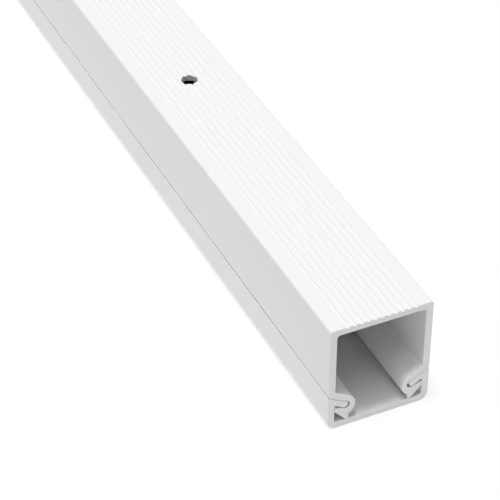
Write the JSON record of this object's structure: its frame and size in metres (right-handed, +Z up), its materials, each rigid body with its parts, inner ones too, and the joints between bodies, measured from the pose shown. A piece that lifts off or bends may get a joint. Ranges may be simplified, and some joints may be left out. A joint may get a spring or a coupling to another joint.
{
  "type": "cord cover raceway",
  "caption": "White plastic surface raceway for cords: a U channel with a grooved, screw-holed back, whose curled hooks grip a shallow clip-in cover.",
  "frame": {"origin": "on the floor under the middle of the raceway, at the centre of the cover's flat face", "axes": "+X along the length towards the end that the picture shows, +Y across the width, +Z up from the cover's flat face to the grooved mounting face"},
  "size_m": [1, 0.0304, 0.034],
  "materials": {
    "white_channel": "satin white rigid PVC as extruded, with faint die lines along its length and sawn ends",
    "white_cover": "satin white rigid PVC as extruded, with faint die lines along its length and sawn ends"
  },
  "bodies": {
    "channel": {"base_channel": "white_channel"},
    "cover": {"snap_cover": "white_cover"}
  },
  "joints": [
    {"name": "cover_slide", "type": "slide", "parent": "channel", "child": "cover", "axis": [1, 0, 0], "range_m": [-1, 1]}
  ]
}
